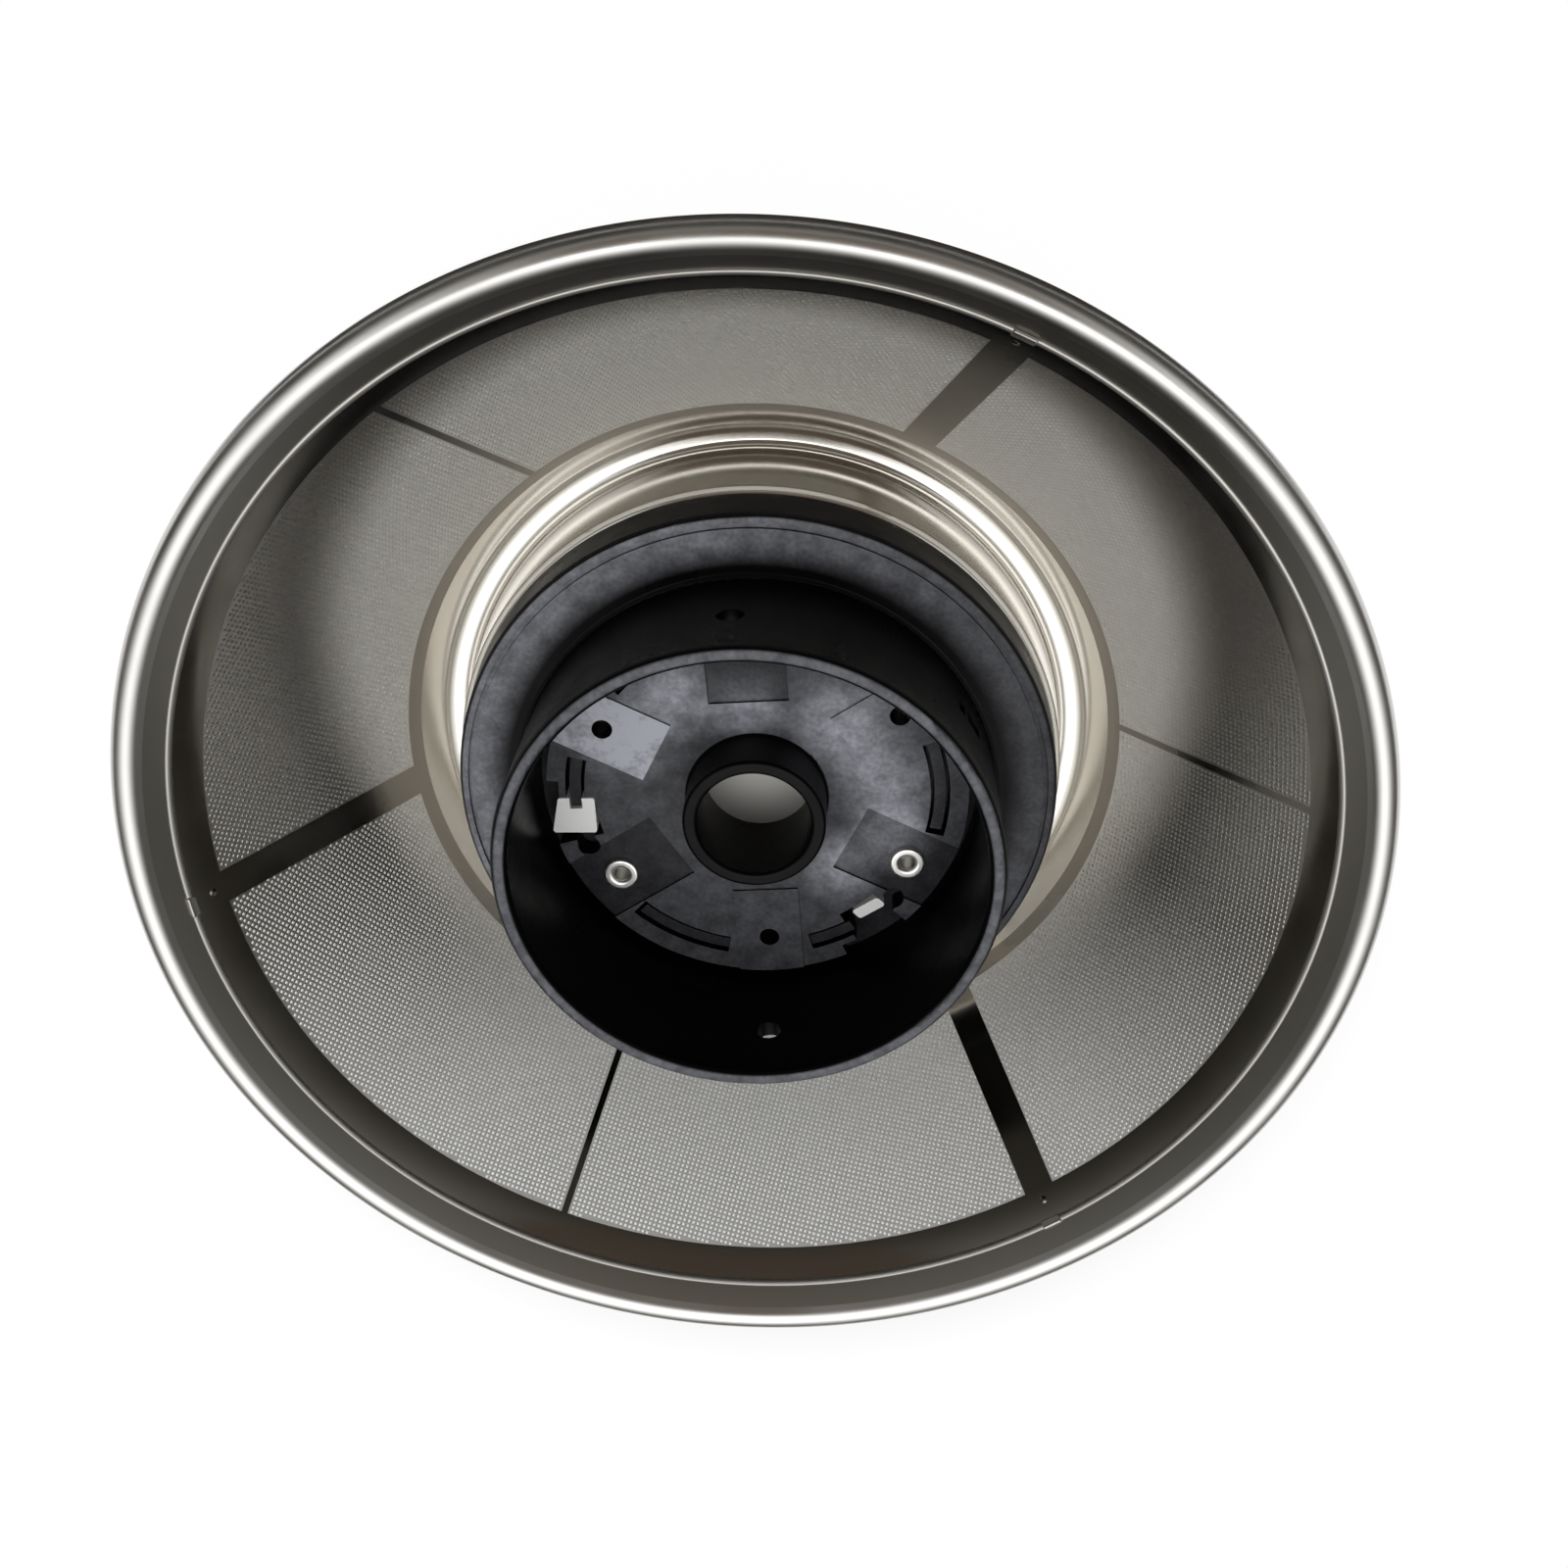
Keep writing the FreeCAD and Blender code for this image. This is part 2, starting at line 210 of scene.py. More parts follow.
def sheetOutline(path, thickness):
    sides = []
    for (r0, z0, _), (r1, z1, _) in zip(path, path[1:]):
        length = math.hypot(r1 - r0, z1 - z0)
        sides.append(((r1 - r0) / length, (z1 - z0) / length))
    copy = []
    for i, (r, z, fillet) in enumerate(path):
        before = sides[max(i - 1, 0)]
        after = sides[min(i, len(sides) - 1)]
        turn = before[0] * after[1] - before[1] * after[0]
        shift = thickness / (1.0 + before[0] * after[0] + before[1] * after[1])
        eased = fillet + math.copysign(thickness, turn) if fillet else 0
        copy.append((r + shift * (before[1] + after[1]), z - shift * (before[0] + after[0]), eased))
    return path + copy[::-1]


# Cone shared by rim, mesh and pan, in millimetres

cone = {
    "slope": math.radians(53.0),
    "startRadius": 61.8,
    "startHeight": 8.9,
    "sheet": 0.4,
    "slant": 38.9,
    "outerMargin": 6.0,
    "innerMargin": 3.2,
    "rimLap": 3.0,
    "firstSeam": 6.0,
}
flatStart = cone["startRadius"] / math.cos(cone["slope"])
lapStart = cone["slant"] + cone["outerMargin"]
meshEnd = lapStart + cone["rimLap"]


def onCone(slant, depth):
    rise = depth - cone["sheet"]
    r = cone["startRadius"] + slant * math.cos(cone["slope"]) - rise * math.sin(cone["slope"])
    z = cone["startHeight"] + slant * math.sin(cone["slope"]) + rise * math.cos(cone["slope"])
    return r, z


def bent(across, along, depth, middle):
    reach = np.hypot(across, along)
    turn = np.radians(middle) + np.arctan2(across, along) / math.cos(cone["slope"])
    r, z = onCone(reach - flatStart, depth)
    return np.stack([r * np.cos(turn), r * np.sin(turn), z], axis=-1) * mm


# Steel finishes

steelLook = {
    "rim": {
        "color": (0.64, 0.63, 0.61), "metallic": 1.0,
        "grain": {"scale": 60.0, "detail": 3.0, "to": (0.28, 0.38)},
    },
    "panel": {
        "color": (0.60, 0.58, 0.545), "metallic": 1.0,
        "grain": {"scale": 45.0, "detail": 2.0, "to": (0.285, 0.325)},
    },
    # Bare steel has a far darker colour than the other steel, painted shade for the dark reflections in
    # its polished face
    "bare": {
        "color": (0.28, 0.264, 0.238), "metallic": 1.0,
        "grain": {"scale": 70.0, "detail": 3.0, "to": (0.12, 0.21)},
    },
    "pan": {
        "color": (0.66, 0.64, 0.60), "metallic": 1.0,
        "grain": {"scale": 50.0, "detail": 4.0, "to": (0.12, 0.19)},
    },
    "disc": {
        "color": (0.58, 0.57, 0.55), "metallic": 1.0,
        "grain": {"scale": 80.0, "detail": 3.0, "to": (0.22, 0.36)},
        "bump": {"scale": 300.0, "detail": 3.0, "distance": 0.00004},
    },
    "rivet": {
        "color": (0.90, 0.89, 0.86), "metallic": 1.0,
        "grain": {"scale": 400.0, "detail": 2.0, "to": (0.28, 0.4)},
    },
}
troughSheen = {
    "centre": (0.0, -16.0), "start": 64.0, "end": 74.0, "roughness": 0.63, "color": (0.88, 0.87, 0.835),
}
farSideLight = {"from": 15.0, "to": 60.0, "roughness": 0.72, "color": (0.76, 0.757, 0.74)}
bareTroughSheen = {"start": 60.0, "end": 76.0, "roughness": 0.45, "color": (0.40, 0.375, 0.335)}
hemShade = {"top": 46.1, "roughness": 0.6, "color": (0.30, 0.292, 0.275)}
lapShade = {"radius": 91.3, "roughness": 0.34, "color": (0.44, 0.425, 0.395)}


def nearTrough(tree, look):
    radius = radiusValue(tree, planeSplit(tree), troughSheen["centre"])
    return rangeValue(tree, radius, look["end"] * mm, look["start"] * mm, smooth=True)


def addPanelSheen(material):
    # Round the trough and on the far side the panels get a duller finish and a paler grey: the paler
    # grey is painted sheen round the trough and painted light on the far side
    tree = material.node_tree
    addDull(material, nearTrough(tree, troughSheen), troughSheen)
    back = rangeValue(tree, planeSplit(tree)["Y"], farSideLight["from"] * mm, farSideLight["to"] * mm)
    addDull(material, back, farSideLight)


def addLapAndHemShade(material):
    # Painted shade: the lap is darker than the bead, standing in for the dark surroundings it reflects,
    # and the hem before it is dull, with a darker colour that dims its highlight
    tree = material.node_tree
    split = planeSplit(tree)
    onLap = mathValue(tree, "LESS_THAN", radiusValue(tree, split), lapShade["radius"] * mm)
    addDull(material, onLap, lapShade)
    onHem = mathValue(tree, "LESS_THAN", split["Z"], hemShade["top"] * mm)
    addDull(material, onHem, hemShade)


rimSteel = newMaterial("rimSteel", steelLook["rim"])
panelSteel = newMaterial("panelSteel", steelLook["panel"])
bareSteel = newMaterial("bareSteel", steelLook["bare"])
panSteel = newMaterial("panSteel", steelLook["pan"])
discSteel = newMaterial("discSteel", steelLook["disc"])
rivetSteel = newMaterial("rivetSteel", steelLook["rivet"])
addLapAndHemShade(rimSteel)
addPanelSheen(panelSteel)
# The bare margin round the trough is made duller and a paler grey too, painted sheen
addDull(bareSteel, nearTrough(bareSteel.node_tree, bareTroughSheen), bareTroughSheen)


# Rim: half-round hem, lap on the mesh, then the rolled bead

rimLook = {
    "segments": 512, "radius": 96.0, "bead": 2.3, "sheet": 0.6, "sweep": 265.0, "steps": 40,
    "hemWidth": 1.2, "hemRise": 0.45, "hemSteps": 12, "sharp": 35.0,
}


def rimProfile():
    top = cone["sheet"] + rimLook["sheet"]
    low = top - rimLook["bead"]
    place = rimLook["radius"] - rimLook["bead"]
    rollStart = (place - onCone(0, low)[0]) / math.cos(cone["slope"])
    beadR, beadZ = onCone(rollStart, low)

    def roll(radius):
        arc = []
        for k in range(rimLook["steps"] + 1):
            turn = cone["slope"] + math.pi / 2 - math.radians(rimLook["sweep"]) * k / rimLook["steps"]
            arc.append((beadR + radius * math.cos(turn), beadZ + radius * math.sin(turn)))
        return arc

    def hem():
        half = rimLook["hemWidth"] / 2
        rise = rimLook["hemRise"]
        radius = (half * half + rise * rise) / (2 * rise)
        reach = math.asin(half / radius)
        arc = []
        for k in range(rimLook["hemSteps"] + 1):
            turn = reach * (2 * k / rimLook["hemSteps"] - 1)
            along = lapStart + half + radius * math.sin(turn)
            arc.append(onCone(along, top + rise - radius * (1 - math.cos(turn))))
        return arc

    edge = [onCone(lapStart, cone["sheet"])]
    return edge + hem() + roll(rimLook["bead"]) + roll(rimLook["bead"] - rimLook["sheet"])[::-1]


rimMesh = revolved("rimRing", rimProfile(), rimLook)
addPiece("rimRing", rimMesh, rimSteel, "rim_ring")
print("rim done")


# Mesh: six half panels of square perforations, laid flat and bent to the cone

meshLook = {
    "pitch": 0.84, "holeOutside": 0.38, "holeInside": 0.50, "spareCells": 3, "plainReach": 1.2,
    "wideStrip": 6.0, "thinStrip": 1.6, "panels": 3, "sharp": 30.0,
    "frameExtra": 0.02, "bandSegments": 384, "innerStep": (-2.0, -1.9), "outerStep": (-0.3, -0.2),
    "stripExtra": 1.3, "stripOver": 0.5, "stripRows": 12, "stripColumns": 5,
}


def halfPanel(side, middle):
    pitch = meshLook["pitch"]
    spare = meshLook["spareCells"]
    flatEnd = flatStart + cone["slant"]
    halfTurn = math.radians(180.0 / meshLook["panels"]) * math.cos(cone["slope"])
    columns = np.arange(0, int(flatEnd * math.sin(halfTurn) / pitch) + spare)
    rows = np.arange(int(flatStart * math.cos(halfTurn) / pitch) - spare, int(flatEnd / pitch) + spare)
    column, row = np.meshgrid(columns, rows, indexing="ij")
    across = (column + 0.5) * pitch
    along = (row + 0.5) * pitch

    def inside(extra):
        reach = np.hypot(across, along)
        toSeam = reach * np.sin(halfTurn - np.arctan2(across, along))
        clear = (reach > flatStart - extra) & (reach < flatEnd + extra)
        clear = clear & (across > meshLook["thinStrip"] / 2 - extra)
        return clear & (toSeam > meshLook["wideStrip"] / 2 - extra)

    holed = inside(0.0)
    plain = inside(meshLook["plainReach"] * pitch) & ~holed
    nodeColumns = np.arange(0, len(columns) + 1)
    nodeRows = np.arange(rows[0], rows[0] + len(rows) + 1)
    nodeColumn, nodeRow = np.meshgrid(nodeColumns, nodeRows, indexing="ij")
    gridSize = nodeColumn.size
    nodeIndex = np.arange(gridSize).reshape(nodeColumn.shape)

    def corners(cells):
        c, r = np.nonzero(cells)
        around = [nodeIndex[c, r], nodeIndex[c + 1, r], nodeIndex[c + 1, r + 1], nodeIndex[c, r + 1]]
        return np.stack(around, axis=1)

    points = []
    for depth in (0.0, cone["sheet"]):
        grid = bent(side * nodeColumn * pitch, nodeRow * pitch, depth, middle)
        points.append(grid.reshape(-1, 3))
    for depth, hole in ((0.0, meshLook["holeOutside"]), (cone["sheet"], meshLook["holeInside"])):
        half = hole / 2
        shifts = [(-half, -half), (half, -half), (half, half), (-half, half)]
        rings = [bent(side * (across[holed] + a), along[holed] + b, depth, middle) for a, b in shifts]
        points.append(np.stack(rings, axis=1).reshape(-1, 3))
    lower = corners(holed)
    upper = lower + gridSize
    lowHole = 2 * gridSize + np.arange(lower.size).reshape(-1, 4)
    highHole = lowHole + lower.size
    faces = []
    for k in range(4):
        n = (k + 1) % 4
        faces.append(np.stack([lower[:, n], lower[:, k], lowHole[:, k], lowHole[:, n]], axis=1))
        faces.append(np.stack([upper[:, k], upper[:, n], highHole[:, n], highHole[:, k]], axis=1))
        faces.append(np.stack([lowHole[:, n], lowHole[:, k], highHole[:, k], highHole[:, n]], axis=1))
    faces.append(corners(plain)[:, ::-1])
    faces.append(corners(plain) + gridSize)
    allFaces = np.concatenate(faces)
    if side < 0:
        allFaces = allFaces[:, ::-1]
    kept, order = np.unique(allFaces, return_inverse=True)
    return np.concatenate(points)[kept], order.reshape(-1, 4)


def quadMesh(name, points, quads, sharpDegrees):
    mesh = bpy.data.meshes.new(name)
    mesh.vertices.add(len(points))
    mesh.vertices.foreach_set("co", points.astype(np.float32).ravel())
    mesh.loops.add(quads.size)
    mesh.loops.foreach_set("vertex_index", quads.astype(np.int32).ravel())
    mesh.polygons.add(len(quads))
    mesh.polygons.foreach_set("loop_start", np.arange(0, quads.size, 4, dtype=np.int32))
    mesh.update(calc_edges=True)
    mesh.validate()
    mesh.shade_smooth()
    mesh.set_sharp_from_angle(angle=math.radians(sharpDegrees))
    return mesh


for panelIndex in range(meshLook["panels"]):
    panelMiddle = cone["firstSeam"] + 360.0 / meshLook["panels"] * (panelIndex + 0.5)
    for side, sideName in ((1, "Left"), (-1, "Right")):
        points, quads = halfPanel(side, panelMiddle)
        pieceName = "meshPanel" + str(panelIndex + 1) + sideName
        panelMesh = quadMesh(pieceName, points, quads, meshLook["sharp"])
        addPiece(pieceName, panelMesh, panelSteel, "mesh_cone")
print("mesh panels done")


# Bare margins and strips round the perforated panels

def coneBand(slants):
    profile = [onCone(slant, -extra) for slant, extra in slants]
    profile += [onCone(slant, cone["sheet"] + extra) for slant, extra in reversed(slants)]
    return ringParts(profile, meshLook["bandSegments"])


def joined(name, parts, sharpDegrees):
    points = []
    faces = []
    for somePoints, someFaces in parts:
        start = len(points)
        points += somePoints
        faces += [tuple(i + start for i in face) for face in someFaces]
    return meshFrom(name, points, faces, sharpDegrees)


def stripParts(width, turnDegrees, extra):
    over = meshLook["stripOver"]
    wide = meshLook["stripColumns"]
    slants = np.linspace(-over, cone["slant"] + over, meshLook["stripRows"])
    spread = np.linspace(-width / 2, width / 2, wide)
    points = []
    faces = []
    for depth in (-extra, cone["sheet"] + extra):
        for slant in slants:
            row = bent(spread, np.full(wide, flatStart + slant), depth, turnDegrees)
            points += [tuple(p) for p in row]
    layer = len(slants) * wide
    for i in range(len(slants) - 1):
        for j in range(wide - 1):
            a, d = i * wide + j, (i + 1) * wide + j
            faces.append((a, a + 1, d + 1, d))
            faces.append((a + layer, d + layer, d + 1 + layer, a + 1 + layer))
        for j in (0, wide - 1):
            a, d = i * wide + j, (i + 1) * wide + j
            faces.append((a, d, d + layer, a + layer))
    return points, faces


pad = meshLook["pitch"] / 2
thick = meshLook["frameExtra"]
innerLow, innerHigh = meshLook["innerStep"]
outerHigh, outerLow = meshLook["outerStep"]
frameParts = [
    coneBand([(-cone["innerMargin"], 0.0), (innerLow, 0.0), (innerHigh, thick), (-pad, thick)]),
    coneBand([
        (cone["slant"] + pad, thick), (lapStart + outerHigh, thick),
        (lapStart + outerLow, 0.0), (meshEnd, 0.0),
    ]),
]
for stripIndex in range(2 * meshLook["panels"]):
    stripTurn = cone["firstSeam"] + 180.0 / meshLook["panels"] * stripIndex
    stripWidth = meshLook["wideStrip"] if stripIndex % 2 == 0 else meshLook["thinStrip"]
    frameParts.append(stripParts(stripWidth - pad, stripTurn, meshLook["stripExtra"] * thick))
frameMesh = joined("meshFrame", frameParts, meshLook["sharp"])
addPiece("meshFrame", frameMesh, bareSteel, "mesh_cone")
print("mesh frame done")


# Weld marks where each wide strip meets the rim

weldLook = {
    "spotSlant": 41.4, "spotRadius": 0.62, "spotHeight": 0.16, "spotRings": 4, "spotSides": 20,
    "tabLength": 3.6, "tabWidth": 1.5, "tabLift": 0.12, "tabSteps": 10,
    "tabRound": 0.25, "tabRoundSteps": 3, "sharp": 40.0,
}


def weldSpot(turn):
    look = weldLook
    points = []
    faces = []
    for ring in range(look["spotRings"] + 1):
        share = 1.0 - ring / look["spotRings"]
        depth = cone["sheet"] + meshLook["frameExtra"] + look["spotHeight"] * (1 - share * share)
        for k in range(look["spotSides"]):
            angle = 2 * math.pi * k / look["spotSides"]
            across = look["spotRadius"] * share * math.cos(angle)
            along = flatStart + look["spotSlant"] + look["spotRadius"] * share * math.sin(angle)
            points.append(tuple(bent(across, along, depth, turn)))
    sides = look["spotSides"]
    for ring in range(look["spotRings"]):
        for k in range(sides):
            n = (k + 1) % sides
            a, b = ring * sides + k, ring * sides + n
            faces.append((a, b, b + sides, a + sides))
    faces.append(tuple(range(sides))[::-1])
    return points, faces


def weldTab(turn):
    look = weldLook
    crest = cone["sheet"] + rimLook["sheet"] + rimLook["hemRise"]
    middle = flatStart + lapStart + rimLook["hemWidth"] / 2
    count = look["tabSteps"]
    points = []
    faces = []
    for depth in (crest - rimLook["hemRise"], crest + look["tabLift"]):
        for along in (middle - look["tabWidth"] / 2, middle + look["tabWidth"] / 2):
            for k in range(count + 1):
                across = look["tabLength"] * (k / count - 0.5)
                points.append(tuple(bent(across, along, depth, turn)))
    row = count + 1
    for k in range(count):
        for a, b in ((0, 1), (3, 2), (2, 0), (1, 3)):
            faces.append((a * row + k, b * row + k, b * row + k + 1, a * row + k + 1))
    for k in (0, count):
        faces.append((k, row + k, 3 * row + k, 2 * row + k))
    return points, faces


for seamIndex in range(meshLook["panels"]):
    seamTurn = cone["firstSeam"] + 360.0 / meshLook["panels"] * seamIndex
    number = str(seamIndex + 1)
    spotMesh = joined("weldSpot" + number, [weldSpot(seamTurn)], weldLook["sharp"])
    addPiece("weldSpot" + number, spotMesh, bareSteel)
    tabMesh = joined("weldTab" + number, [weldTab(seamTurn)], weldLook["sharp"])
    tab = addPiece("weldTab" + number, tabMesh, rimSteel)
    rounding = tab.modifiers.new("rounding", "BEVEL")
    rounding.width = weldLook["tabRound"] * mm
    rounding.segments = weldLook["tabRoundSteps"]
print("weld marks done")


# Base pan

panLook = {
    "segments": 512, "sheet": 0.6, "centreHeight": 16.5, "knee": 50.6, "draft": math.radians(5.0),
    "kneeFillet": 1.4, "wallFillet": 1.8, "coneFillet": 3.0, "lap": 2.8,
    "filletSteps": 12, "sharp": 35.0,
}
socketLook = {"radius": 12.0, "roughness": 0.5, "color": (0.36, 0.35, 0.33)}


def panProfile():
    flangeEnd = onCone(panLook["lap"] - cone["innerMargin"], 0)
    drop = panLook["centreHeight"] - panLook["sheet"]
    wallFoot = panLook["knee"] + drop * math.tan(panLook["draft"])
    coneFoot = flangeEnd[0] - (flangeEnd[1] - panLook["sheet"]) / math.tan(cone["slope"])
    path = [
        (0, panLook["centreHeight"], 0),
        (panLook["knee"], panLook["centreHeight"], panLook["kneeFillet"]),
        (wallFoot, panLook["sheet"], panLook["wallFillet"]),
        (coneFoot, panLook["sheet"], panLook["coneFillet"]),
        (flangeEnd[0], flangeEnd[1], 0),
    ]
    return filleted(sheetOutline(path, panLook["sheet"]), panLook["filletSteps"])


# The floor of the drive socket is made duller and a darker grey
panTree = panSteel.node_tree
panRadius = radiusValue(panTree, planeSplit(panTree))
socketFloor = mathValue(panTree, "LESS_THAN", panRadius, socketLook["radius"] * mm)
addDull(panSteel, socketFloor, socketLook)
panMesh = revolved("basePan", panProfile(), panLook)
addPiece("basePan", panMesh, panSteel, "base_pan")
print("pan done")


# Drive hub, rivets, clips and disc keep their CAD solids

hubLook = {
    "color": (0.0025, 0.0025, 0.0027), "metallic": 0.0, "specular": 0.09,
    "grain": {"scale": 90.0, "detail": 4.0, "to": (0.24, 0.42)},
    "bump": {"scale": 500.0, "detail": 2.0, "distance": 0.00004},
    "hubSheen": (0.425, 0.435, 0.485), "facing": (0.8, 0.95),
    "blotch": {"scale": 300.0, "detail": 5.0, "from": (0.34, 0.66), "to": (0.72, 1.22)},
    "speck": {"scale": 1300.0, "detail": 3.0, "from": (0.35, 0.65), "to": (0.8, 1.1)},
    "plateEdge": 37.0, "plateSheen": 0.14, "plateTop": 25.5, "sunkHigh": 23.35, "sunkSheenShare": 0.4,
    "padLow": 23.8, "padHigh": 24.2, "padSpot": (21.0, -11.1), "padReach": 14.0, "padSheen": 0.75,
    "flangeSheenStart": 41.0, "flangeFull": 45.0, "flangeSheen": 0.46,
    "flangeFrom": -45.0, "flangeTo": 10.0, "flangeLeast": 0.3, "lipLow": 50.0, "lipSheen": 0.3,
    "spots": [
        ((13.9, -18.3), 10.0, 0.55), ((1.8, -16.3), 9.0, 0.6), ((-14.0, -12.7), 13.0, 0.6),
        ((-21.7, -2.9), 11.0, 0.45), ((-14.4, 13.1), 9.0, 0.6), ((-22.5, 7.1), 9.0, 0.9),
        ((21.0, -11.1), 11.0, 0.3),
    ],
}
clipLook = {
    "color": (0.84, 0.84, 0.82), "metallic": 0.0,
    "grain": {"scale": 500.0, "detail": 2.0, "to": (0.34, 0.48)},
}


def product(tree, first, *others):
    for other in others:
        first = mathValue(tree, "MULTIPLY", first, other)
    return first


def levelMask(tree, height, low, high):
    above = mathValue(tree, "GREATER_THAN", height, low * mm)
    below = mathValue(tree, "LESS_THAN", height, high * mm)
    return product(tree, above, below)


def sheenOnPlate(tree, split, radius):
    height = split["Z"]
    amount = hubLook["plateSheen"]
    for centre, reach, share in hubLook["spots"]:
        away = radiusValue(tree, split, centre)
        near = rangeValue(tree, away, reach * mm, 0.0, 0.0, share, smooth=True)
        amount = mathValue(tree, "ADD", near, amount)
    sunk = levelMask(tree, height, 0.0, hubLook["sunkHigh"])
    amount = product(tree, amount, rangeValue(tree, sunk, 0.0, 1.0, 1.0, hubLook["sunkSheenShare"]))
    onPad = levelMask(tree, height, hubLook["padLow"], hubLook["padHigh"])
    padRadius = radiusValue(tree, split, hubLook["padSpot"])
    padNear = mathValue(tree, "LESS_THAN", padRadius, hubLook["padReach"] * mm)
    amount = mathValue(tree, "ADD", amount, product(tree, onPad, padNear, hubLook["padSheen"]))
    inside = mathValue(tree, "LESS_THAN", radius, hubLook["plateEdge"] * mm)
    low = mathValue(tree, "LESS_THAN", height, hubLook["plateTop"] * mm)
    return product(tree, amount, inside, low)


def sheenOnEdges(tree, split, radius):
    ends = [hubLook[name] * mm for name in ("flangeSheenStart", "flangeFull")]
    flange = rangeValue(tree, radius, *ends, 0.0, hubLook["flangeSheen"])
    ends = [hubLook[name] * mm for name in ("flangeFrom", "flangeTo")]
    uneven = rangeValue(tree, split["X"], *ends, hubLook["flangeLeast"], 1.0)
    lip = mathValue(tree, "GREATER_THAN", split["Z"], hubLook["lipLow"] * mm)
    return mathValue(tree, "ADD", product(tree, flange, uneven), product(tree, lip, hubLook["lipSheen"]))


def buildHubPlastic():
    # Painted sheen: paler blotches of colour stand in for soft reflections on what faces up: plate, one
    # pad, flange and the lip of the skirt; the flange gets more towards one side, and the sunk pads get
    # less, as painted shade
    material = newMaterial("hubPlastic", hubLook)
    tree = material.node_tree
    split = planeSplit(tree)
    radius = radiusValue(tree, split)
    amount = mathValue(tree, "ADD", sheenOnPlate(tree, split, radius), sheenOnEdges(tree, split, radius))
    facing = tree.nodes.new("ShaderNodeSeparateXYZ")
    shape = tree.nodes.new("ShaderNodeTexCoord")
    tree.links.new(shape.outputs["Normal"], facing.inputs["Vector"])
    upward = rangeValue(tree, facing.outputs["Z"], *hubLook["facing"])
    patches = [noiseRange(tree, hubLook[name]) for name in ("blotch", "speck")]
    hubSheen = rangeValue(tree, product(tree, *patches, amount, upward), 0.0, 1.0)
    color = mixedColor(tree, hubSheen, hubLook["color"], hubLook["hubSheen"])
    tree.links.new(color, tree.nodes["Principled BSDF"].inputs["Base Color"])
    return material


hubPlastic = buildHubPlastic()
clipPlastic = newMaterial("clipPlastic", clipLook)
cadFinish = {
    "drive_hub": (hubPlastic, "hub_plastic"),
    "hollow_rivets": (rivetSteel, "rivet_steel"),
    "wide_balance_clip": (clipPlastic, "clip_plastic"),
    "narrow_balance_clip": (clipPlastic, "clip_plastic"),
    "shredding_disc": (discSteel, "disc_steel"),
}
for nodeName, (material, slotName) in cadFinish.items():
    node = nodes[nodeName]
    node.data.materials.clear()
    node.data.materials.append(material)
print("hub, rivets, clips and disc done")


# Floor, light and camera

studio = {
    "floorSize": 6.0, "floorGap": 0.0003, "floorColor": (0.75, 0.75, 0.75),
    "glow": 1.03, "glowUnder": 0.14, "glowAround": 0.95,
    "shadeCentre": (0.0, 0.045, 0.0), "shadeStart": 0.07, "shadeEnd": 0.125,
    "world": (1.0, 1.0, 1.0), "tentSegments": 48, "tentRings": 24, "tentCut": -0.01,
    "tentRadius": 1.4, "side": (0.04, 0.036, 0.028), "top": (2.8, 2.8, 2.8),
    "axis": (0.0, 0.12, 0.99), "falloff": 4.8,
    "cardSize": (0.27, 0.2), "cardPlace": (-0.007, -0.15, 0.256), "cardGlow": (0.15, 0.12, 0.095),
    "flagSize": (0.6, 0.39), "flagPlace": (0.0, -0.286, 0.002), "flagGlow": (0.04, 0.036, 0.03),
}


def emptyMaterial(name):
    material = bpy.data.materials.new(name)
    material.use_nodes = True
    material.cycles.emission_sampling = "NONE"
    tree = material.node_tree
    tree.nodes.clear()
    out = tree.nodes.new("ShaderNodeOutputMaterial")
    return material, tree, out.inputs["Surface"]


def addStage(name, mesh, material):
    piece = bpy.data.objects.new(name, mesh)
    scene.collection.objects.link(piece)
    mesh.materials.append(material)
    return piece


def squareMesh(name, width, height):
    mesh = bpy.data.meshes.new(name)
    w, h = width / 2, height / 2
    mesh.from_pydata([(-w, -h, 0), (w, -h, 0), (w, h, 0), (-w, h, 0)], [], [(0, 1, 2, 3)])
    return mesh


def buildFloor():
    material, tree, surface = emptyMaterial("floorPaper")
    paper = tree.nodes.new("ShaderNodeBsdfDiffuse")
    paper.inputs["Color"].default_value = (*studio["floorColor"], 1.0)
    glow = tree.nodes.new("ShaderNodeEmission")
    glow.inputs["Strength"].default_value = studio["glow"]
    path = tree.nodes.new("ShaderNodeLightPath")
    seen = mathValue(tree, "MAXIMUM", path.outputs["Is Camera Ray"], path.outputs["Is Glossy Ray"])
    seen = mathValue(tree, "MAXIMUM", seen, path.outputs["Is Transmission Ray"])
    # The glow drops in a soft disc under the object, centred towards the far side: a painted shadow on
    # the floor
    place = tree.nodes.new("ShaderNodeTexCoord")
    length = tree.nodes.new("ShaderNodeVectorMath")
    length.operation = "DISTANCE"
    length.inputs[1].default_value = studio["shadeCentre"]
    tree.links.new(place.outputs["Object"], length.inputs[0])
    around = rangeValue(
        tree, length.outputs["Value"], studio["shadeStart"], studio["shadeEnd"],
        studio["glowUnder"], studio["glowAround"], smooth=True,
    )
    mix = tree.nodes.new("ShaderNodeMixShader")
    tree.links.new(mathValue(tree, "MULTIPLY", seen, around), mix.inputs["Fac"])
    tree.links.new(paper.outputs["BSDF"], mix.inputs[1])
    tree.links.new(glow.outputs["Emission"], mix.inputs[2])
    tree.links.new(mix.outputs["Shader"], surface)
    floor = addStage("floor", squareMesh("floor", studio["floorSize"], studio["floorSize"]), material)
    floor.location.z = -studio["floorGap"]


def buildWorld():
    world = bpy.data.worlds.new("studio")
    scene.world = world
    world.use_nodes = True
    background = world.node_tree.nodes["Background"]
    background.inputs["Color"].default_value = (*studio["world"], 1.0)


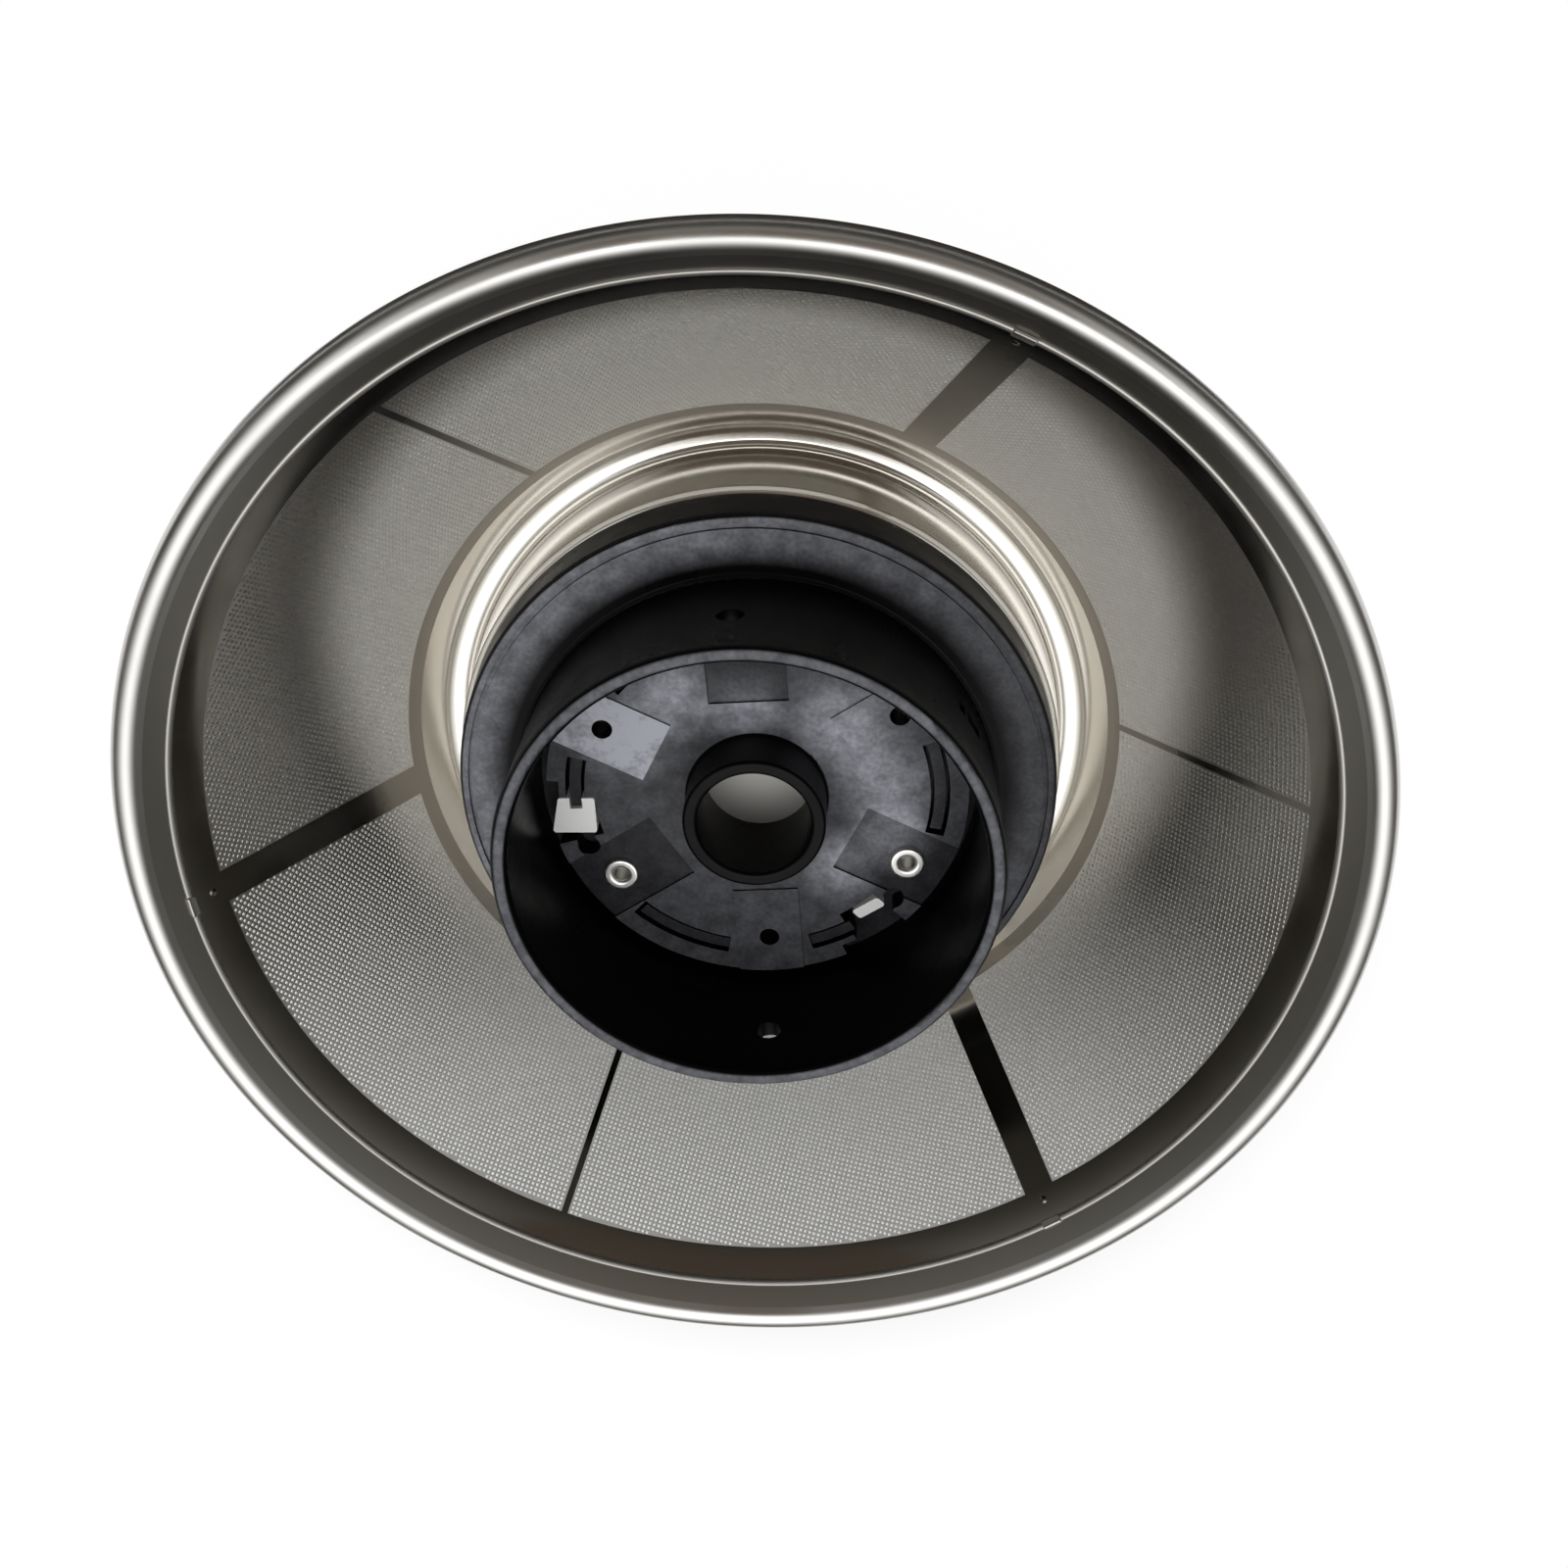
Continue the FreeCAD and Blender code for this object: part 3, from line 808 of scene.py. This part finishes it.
def buildTent():
    # Soft light from overhead, dark low down, round the whole object
    material, tree, surface = emptyMaterial("tentCloth")
    place = tree.nodes.new("ShaderNodeTexCoord")
    aim = tree.nodes.new("ShaderNodeVectorMath")
    aim.operation = "NORMALIZE"
    tree.links.new(place.outputs["Object"], aim.inputs[0])
    dot = tree.nodes.new("ShaderNodeVectorMath")
    dot.operation = "DOT_PRODUCT"
    dot.inputs[1].default_value = Vector(studio["axis"]).normalized()
    tree.links.new(aim.outputs["Vector"], dot.inputs[0])
    rise = mathValue(tree, "MAXIMUM", dot.outputs["Value"], 0.0)
    share = mathValue(tree, "POWER", rise, studio["falloff"])
    light = tree.nodes.new("ShaderNodeEmission")
    tree.links.new(mixedColor(tree, share, studio["side"], studio["top"]), light.inputs["Color"])
    tree.links.new(light.outputs["Emission"], surface)
    build = bmesh.new()
    bmesh.ops.create_uvsphere(
        build, u_segments=studio["tentSegments"], v_segments=studio["tentRings"],
        radius=studio["tentRadius"],
    )
    lower = [v for v in build.verts if v.co.z < studio["tentCut"]]
    bmesh.ops.delete(build, geom=lower, context="VERTS")
    mesh = bpy.data.meshes.new("tent")
    build.to_mesh(mesh)
    build.free()
    tent = addStage("tent", mesh, material)
    tent.visible_camera = False


view = {
    "place": (-13.152, -128.928, 248.704),
    "right": (-0.999, 0.0, -0.0385), "up": (0.0189, -0.872, -0.489),
    "lens": 36.0, "sensor": 36.0, "near": 0.005,
}


def buildCamera():
    data = bpy.data.cameras.new("camera")
    data.lens = view["lens"]
    data.sensor_width = view["sensor"]
    data.clip_start = view["near"]
    camera = bpy.data.objects.new("camera", data)
    scene.collection.objects.link(camera)
    right = Vector(view["right"]).normalized()
    up = Vector(view["up"])
    up = (up - right * up.dot(right)).normalized()
    back = right.cross(up)
    turn = Matrix((right, up, back)).transposed().to_4x4()
    camera.matrix_world = Matrix.Translation(Vector(view["place"]) * mm) @ turn
    scene.camera = camera


def buildCard(name):
    # Dark cards over and before the object, seen only in the polished steel
    material, tree, surface = emptyMaterial(name + "Paper")
    light = tree.nodes.new("ShaderNodeEmission")
    light.inputs["Color"].default_value = (*studio[name + "Glow"], 1.0)
    tree.links.new(light.outputs["Emission"], surface)
    card = addStage(name, squareMesh(name, *studio[name + "Size"]), material)
    card.location = studio[name + "Place"]
    card.visible_camera = False
    card.visible_diffuse = False
    card.visible_shadow = False


buildFloor()
buildWorld()
buildTent()
buildCard("card")
buildCard("flag")
buildCamera()
scene.view_settings.view_transform = "Standard"
print("stage done")
